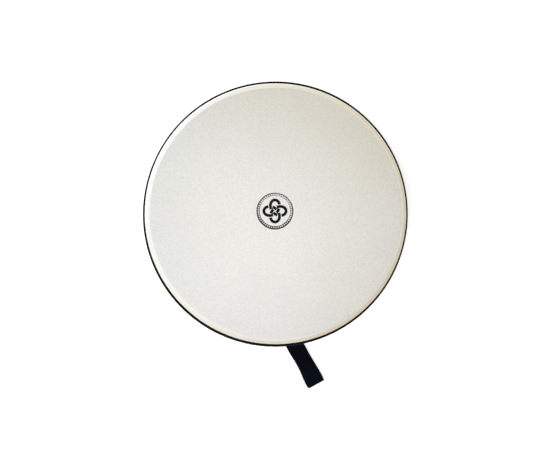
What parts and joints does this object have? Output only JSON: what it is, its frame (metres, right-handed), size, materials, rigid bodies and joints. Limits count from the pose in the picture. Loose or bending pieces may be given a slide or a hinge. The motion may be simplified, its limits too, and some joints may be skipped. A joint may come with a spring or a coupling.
{
  "type": "bodhran",
  "caption": "Round Irish frame drum with a pale skin head, black shell and trim hoop, inner tone ring raised by tuning bolts, rear crossbar and webbing hanging strap.",
  "frame": {"origin": "centre of the playing face", "axes": "+Z is the outward normal of the head, and the hanging strap is on the -Y side"},
  "size_m": [0.4654, 0.5496, 0.092],
  "materials": {
    "head_skin": "fine fibrous matt skin",
    "black_hoop": "satin black trim",
    "black_ply": "satin black lacquer over bent ply",
    "tone_wood": "clear lacquered ash",
    "black_wood": "black stained and sealed",
    "zinc_plate": "bright zinc plate",
    "black_oxide": "black oxide steel",
    "webbing": "woven polypropylene webbing"
  },
  "bodies": {
    "drum": {"shell": "black_ply", "head": "head_skin", "trim_hoop": "black_hoop", "crossbar": "black_wood", "crossbar_washer_right": "zinc_plate", "crossbar_screw_right": "zinc_plate", "crossbar_washer_left": "zinc_plate", "crossbar_screw_left": "zinc_plate", "strap_washer": "black_oxide", "strap_screw": "black_oxide", "strap_nut_washer": "zinc_plate", "strap_nut": "zinc_plate", "tuning_bracket_1": "zinc_plate", "tuning_bracket_2": "zinc_plate", "tuning_bracket_3": "zinc_plate", "tuning_bracket_4": "zinc_plate", "tuning_bracket_5": "zinc_plate", "tuning_bracket_6": "zinc_plate", "tuning_bracket_7": "zinc_plate", "tuning_bracket_8": "zinc_plate", "bracket_screw_1a": "black_oxide", "bracket_screw_1b": "black_oxide", "bracket_screw_2a": "black_oxide", "bracket_screw_2b": "black_oxide", "bracket_screw_3a": "black_oxide", "bracket_screw_3b": "black_oxide", "bracket_screw_4a": "black_oxide", "bracket_screw_4b": "black_oxide", "bracket_screw_5a": "black_oxide", "bracket_screw_5b": "black_oxide", "bracket_screw_6a": "black_oxide", "bracket_screw_6b": "black_oxide", "bracket_screw_7a": "black_oxide", "bracket_screw_7b": "black_oxide", "bracket_screw_8a": "black_oxide", "bracket_screw_8b": "black_oxide"},
    "tone_ring": {"tone_ring": "tone_wood"},
    "bolt_1": {"tuning_bolt_1": "black_oxide"},
    "bolt_2": {"tuning_bolt_2": "black_oxide"},
    "bolt_3": {"tuning_bolt_3": "black_oxide"},
    "bolt_4": {"tuning_bolt_4": "black_oxide"},
    "bolt_5": {"tuning_bolt_5": "black_oxide"},
    "bolt_6": {"tuning_bolt_6": "black_oxide"},
    "bolt_7": {"tuning_bolt_7": "black_oxide"},
    "bolt_8": {"tuning_bolt_8": "black_oxide"},
    "strap_upper": {"strap_upper": "webbing"},
    "strap_tail": {"strap_tail": "webbing"}
  },
  "joints": [
    {"name": "tone_ring_lift", "type": "slide", "parent": "drum", "child": "tone_ring", "axis": [0, 0, 1], "range_m": [-0.004, 0]},
    {"name": "bolt_1_turn", "type": "hinge", "parent": "tone_ring", "child": "bolt_1", "pos_m": [0.19549, 0.08098, -0.05], "axis": [0, 0, 1], "range_deg": [-1441, 0]},
    {"name": "bolt_2_turn", "type": "hinge", "parent": "tone_ring", "child": "bolt_2", "pos_m": [0.08098, 0.19549, -0.05], "axis": [0, 0, 1], "range_deg": [-1441, 0]},
    {"name": "bolt_3_turn", "type": "hinge", "parent": "tone_ring", "child": "bolt_3", "pos_m": [-0.08098, 0.19549, -0.05], "axis": [0, 0, 1], "range_deg": [-1441, 0]},
    {"name": "bolt_4_turn", "type": "hinge", "parent": "tone_ring", "child": "bolt_4", "pos_m": [-0.19549, 0.08098, -0.05], "axis": [0, 0, 1], "range_deg": [-1441, 0]},
    {"name": "bolt_5_turn", "type": "hinge", "parent": "tone_ring", "child": "bolt_5", "pos_m": [-0.19549, -0.08098, -0.05], "axis": [0, 0, 1], "range_deg": [-1441, 0]},
    {"name": "bolt_6_turn", "type": "hinge", "parent": "tone_ring", "child": "bolt_6", "pos_m": [-0.08098, -0.19549, -0.05], "axis": [0, 0, 1], "range_deg": [-1441, 0]},
    {"name": "bolt_7_turn", "type": "hinge", "parent": "tone_ring", "child": "bolt_7", "pos_m": [0.08098, -0.19549, -0.05], "axis": [0, 0, 1], "range_deg": [-1441, 0]},
    {"name": "bolt_8_turn", "type": "hinge", "parent": "tone_ring", "child": "bolt_8", "pos_m": [0.19549, -0.08098, -0.05], "axis": [0, 0, 1], "range_deg": [-1441, 0]},
    {"name": "strap_swivel", "type": "hinge", "parent": "drum", "child": "strap_upper", "pos_m": [0.0167, -0.22739, -0.0557], "axis": [0.0732, -0.9973, 0], "range_deg": [-70, 50]},
    {"name": "strap_flex", "type": "hinge", "parent": "strap_upper", "child": "strap_tail", "pos_m": [0.03143, -0.23184, -0.08658], "axis": [-0.9973, -0.0732, 0], "range_deg": [-80, 70]}
  ],
  "couplings": [
    {"joint": "bolt_1_turn", "follows": "tone_ring_lift", "rad_per_m": 6283.2},
    {"joint": "bolt_2_turn", "follows": "tone_ring_lift", "rad_per_m": 6283.2},
    {"joint": "bolt_3_turn", "follows": "tone_ring_lift", "rad_per_m": 6283.2},
    {"joint": "bolt_4_turn", "follows": "tone_ring_lift", "rad_per_m": 6283.2},
    {"joint": "bolt_5_turn", "follows": "tone_ring_lift", "rad_per_m": 6283.2},
    {"joint": "bolt_6_turn", "follows": "tone_ring_lift", "rad_per_m": 6283.2},
    {"joint": "bolt_7_turn", "follows": "tone_ring_lift", "rad_per_m": 6283.2},
    {"joint": "bolt_8_turn", "follows": "tone_ring_lift", "rad_per_m": 6283.2}
  ]
}
